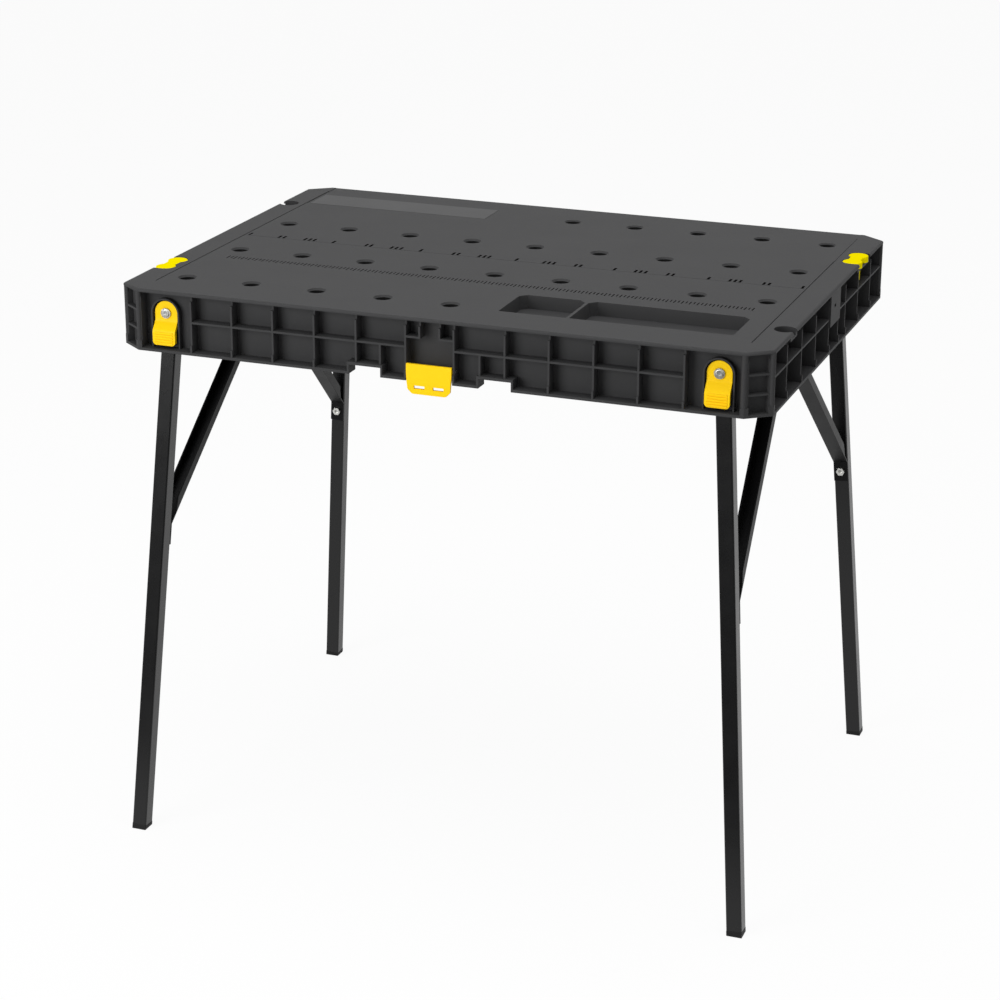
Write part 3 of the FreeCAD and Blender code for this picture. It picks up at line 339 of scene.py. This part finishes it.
# Foot caps: black plastic plugs pushed into the tube ends.
# They are cut level with the floor, although the legs lean.
cap_black = (0.008, 0.008, 0.008)
cap_plastic = moulded_plastic("black_cap_plastic", cap_black,
                              grain_depth=0.2, roughness=0.6, speckle=0.05, gloss=0.15)
for corner in corners:
    cap = softened(f"foot_cap_{corner}", "plug",
                   edge_width=0.0008, segments=2, finish=cap_plastic)

# Release levers: small yellow mouldings with soft edges, a satin skin and a ridged pad.
# One screw holds each in a collar of the front or back wall, before its leg.
yellow = (0.92, 0.58, 0.002)
yellow_plastic = moulded_plastic("satin_yellow_plastic", yellow,
                                 grain_depth=0.1, roughness=0.42, speckle=0.02, gloss=0.1)
for corner in corners:
    lever = softened(f"release_lever_{corner}", "moulding",
                     edge_width=0.0006, segments=2, finish=yellow_plastic)

# Latches: yellow flaps of the same plastic with two slots and rounded lower corners.
# Each hangs on a steel pin in a bay at the middle of the front or back wall.
lying = math.pi / 2
flap_y = 0.303
trim_x, trim_z, trim_size = 0.0254, 0.6495, (0.0140, 0.02, 0.0190)
round_x, round_z, round_radius = 0.0184, 0.659, 0.0101
for end, facing in (("front", -1), ("back", 1)):
    latch = softened(f"latch_{end}", "flap",
                     edge_width=0.0012, segments=3, finish=yellow_plastic)
    trims = []
    for side in (1, -1):
        trim = block("corner_trim", trim_size, (side * trim_x, facing * flap_y, trim_z))
        round_place = (side * round_x, facing * flap_y, round_z)
        carve(trim, [rod(64, round_radius, length=0.03, place=round_place, turn=lying)])
        trims.append(trim)
    carve(latch, trims)
    even_shading(latch)

# Connectors: dog-bone links of matt lemon yellow plastic, flush in seats of the top.
# Each turns on its own stem and reaches out to a neighbouring bench.
lemon = (0.86, 0.72, 0.0)
lemon_plastic = moulded_plastic("matt_lemon_plastic", lemon,
                                grain_depth=0.1, roughness=0.6, speckle=0.02, gloss=0.0)
for side in ("left", "right"):
    connector = softened(f"connector_{side}", "link",
                         edge_width=0.0006, segments=2, finish=lemon_plastic)

# Pivot bolts, nuts and pins: turned and pressed steel with a bright zinc plating.
# The bolts carry the legs and braces in webs of the worktop, and the pins carry the latches.


def zinc_plate(name):
    """Bright zinc with fine, uneven brightness."""
    plating, tree, shader = new_material(name)
    shader.inputs["Metallic"].default_value = 1.0
    spangle = noise(tree, scale=260.0)
    tinted(tree, shader, spangle, dark=(0.48, 0.48, 0.46), light=(0.78, 0.78, 0.75))
    sheen = between(tree, spangle, low=0.22, high=0.4)
    tree.links.new(sheen, shader.inputs["Roughness"])
    return plating


zinc = zinc_plate("bright_zinc")
for node in ("leg_pivot_bolts", "brace_pivot_bolts", "brace_pivot_nuts", "latch_pins"):
    fastener = softened(node, "plated", edge_width=0.0003, segments=2, finish=zinc)

# Brace bolts: zinc-plated hexagon heads with a deep punched centre.
# Each goes through the brace's lower tab into the leg, with its head towards the middle.
face_depth = 0.001
for corner in corners:
    bolt = softened(f"brace_bolt_{corner}", "plated",
                    edge_width=0.0005, segments=2, finish=zinc)
    spots = [vertex.co.copy() for vertex in bolt.data.vertices]
    head_y = min(abs(spot.y) for spot in spots)
    head_face = [spot for spot in spots if abs(abs(spot.y) - head_y) < face_depth]
    head_centre = sum(head_face, Vector()) / len(head_face)
    carve(bolt, [rod(24, radius=0.0026, length=0.005, place=head_centre, turn=lying)])
    even_shading(bolt)

# Lever screws: pan heads with a six-sided socket, plated like the bolts.
# One goes through each lever into the wall behind it.
screw_x, screw_z, socket_y = 0.361, 0.713, 0.2937
screws = softened("lever_screws", "plated", edge_width=0.0006, segments=3, finish=zinc)
sockets = []
for side, end in quarters:
    socket_place = (side * screw_x, end * socket_y, screw_z)
    sockets.append(rod(6, radius=0.0024, length=0.0034, place=socket_place, turn=lying))
carve(screws, sockets)
even_shading(screws)

# Screw flanges: the thin round collar that each pan head is forged with.
# It is of the same plated steel and lies between the head and the lever.
flange_y = 0.29195
flanges = []
for side, end in quarters:
    flange_place = (side * screw_x, end * flange_y, screw_z)
    flanges.append(rod(40, radius=0.0066, length=0.0009, place=flange_place, turn=lying))
screw_flanges = joined(flanges)
screw_flanges.name = "screw_flanges"
even_shading(screw_flanges)
screw_flanges.data.materials.append(zinc)
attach(screw_flanges, "top")

# Studio floor: white paper that keeps the bench's shadow.
# To mirror rays it is white under and behind the bench, and dark in front of it as a painted
# dark reflection that the camera never sees.


def combined(tree, operation, first, second):
    """Two values, or a value and a number, put together by a math node."""
    reckoning = tree.nodes.new("ShaderNodeMath")
    reckoning.operation = operation
    for socket, value in zip(reckoning.inputs, (first, second)):
        if isinstance(value, float):
            socket.default_value = value
        else:
            tree.links.new(value, socket)
    return reckoning.outputs[0]


bpy.ops.mesh.primitive_plane_add(size=40, location=(0, 0, 0))
floor = bpy.context.object
floor.name = "studio_floor"
# The dark grey below paints a dark reflection in front of the bench, for mirror rays only.
dark_reflection_edge, paper_edge = -0.75, -0.4
paper_white, dark_reflection_grey, glow_share = 0.9, 0.06, 0.94
paper, tree, matte = new_material("white_paper")
matte.inputs["Roughness"].default_value = 0.9
glow = tree.nodes.new("ShaderNodeEmission")
glow.inputs["Strength"].default_value = 1.0
rays = tree.nodes.new("ShaderNodeLightPath").outputs
place = tree.nodes.new("ShaderNodeTexCoord")
split = tree.nodes.new("ShaderNodeSeparateXYZ")
sweep = tree.nodes.new("ShaderNodeMapRange")
sweep.inputs["From Min"].default_value = dark_reflection_edge
sweep.inputs["From Max"].default_value = paper_edge
tree.links.new(place.outputs["Object"], split.inputs["Vector"])
tree.links.new(split.outputs["Y"], sweep.inputs["Value"])
mirrored = combined(tree, "MULTIPLY", sweep.outputs["Result"], rays["Is Glossy Ray"])
# Mirror rays in front of the bench get the painted dark reflection instead of white paper.
in_dark_reflection = combined(tree, "SUBTRACT", rays["Is Glossy Ray"], mirrored)
paper_and_reflection_tone = between(tree, in_dark_reflection, paper_white, dark_reflection_grey)
tree.links.new(paper_and_reflection_tone, matte.inputs["Base Color"])
direct = combined(tree, "MAXIMUM", rays["Is Camera Ray"], rays["Is Transmission Ray"])
either = combined(tree, "MAXIMUM", direct, mirrored)
share = combined(tree, "MULTIPLY", either, glow_share)
blend = tree.nodes.new("ShaderNodeMixShader")
tree.links.new(share, blend.inputs["Fac"])
tree.links.new(matte.outputs["BSDF"], blend.inputs[1])
tree.links.new(glow.outputs["Emission"], blend.inputs[2])
tree.links.new(blend.outputs["Shader"], tree.nodes["Material Output"].inputs["Surface"])
floor.data.materials.append(paper)

# Studio light: a white room that is dimmer as a lamp than as a backdrop, a soft lamp overhead,
# a strong one from the front left and a weak one from the right.
room_light, room_white = 0.27, 1.0
world = bpy.data.worlds.new("white_room")
bpy.context.scene.world = world
world.use_nodes = True
tree = world.node_tree
sky = tree.nodes["Background"]
sky.inputs["Color"].default_value = (1, 1, 1, 1)
rays = tree.nodes.new("ShaderNodeLightPath").outputs
through = combined(tree, "MAXIMUM", rays["Is Glossy Ray"], rays["Is Transmission Ray"])
seen = combined(tree, "MAXIMUM", rays["Is Camera Ray"], through)
tree.links.new(between(tree, seen, room_light, room_white), sky.inputs["Strength"])
bench_middle = Vector((0, 0, 0.4))
lamps = (
    ("overhead_softbox", (0.2, -0.4, 3.4), 3.0, 71),
    ("right_softbox", (3.4, -0.2, 1.5), 2.0, 9),
    ("front_fill", (-1.9, -3.4, 1.5), 2.2, 102),
)
for name, place, size, power in lamps:
    bpy.ops.object.light_add(type="AREA", location=place)
    lamp = bpy.context.object
    lamp.name = name
    lamp.data.size = size
    lamp.data.energy = power
    lamp.rotation_euler = (bench_middle - Vector(place)).to_track_quat("-Z", "Y").to_euler()

# Camera: where the photographer stood, solved from the corners of the top and the feet.
standpoint = Matrix.Translation((1.14534, -3.13150, 1.60412))
azimuth, elevation, roll = math.radians(20.416), math.radians(19.662), math.radians(0.218)
back = Vector((math.sin(azimuth) * math.cos(elevation),
               -math.cos(azimuth) * math.cos(elevation),
               math.sin(elevation)))
level_right = Vector((math.cos(azimuth), math.sin(azimuth), 0))
level_up = back.cross(level_right)
right = math.cos(roll) * level_right + math.sin(roll) * level_up
up = math.cos(roll) * level_up - math.sin(roll) * level_right
turn = Matrix((right, up, back)).transposed()
bpy.ops.object.camera_add()
camera = bpy.context.object
camera.name = "photographer"
camera.matrix_world = standpoint @ turn.to_4x4()
camera.data.sensor_width = 36.0
camera.data.lens = 94.52
bpy.context.scene.camera = camera
bpy.context.scene.view_settings.view_transform = "Standard"
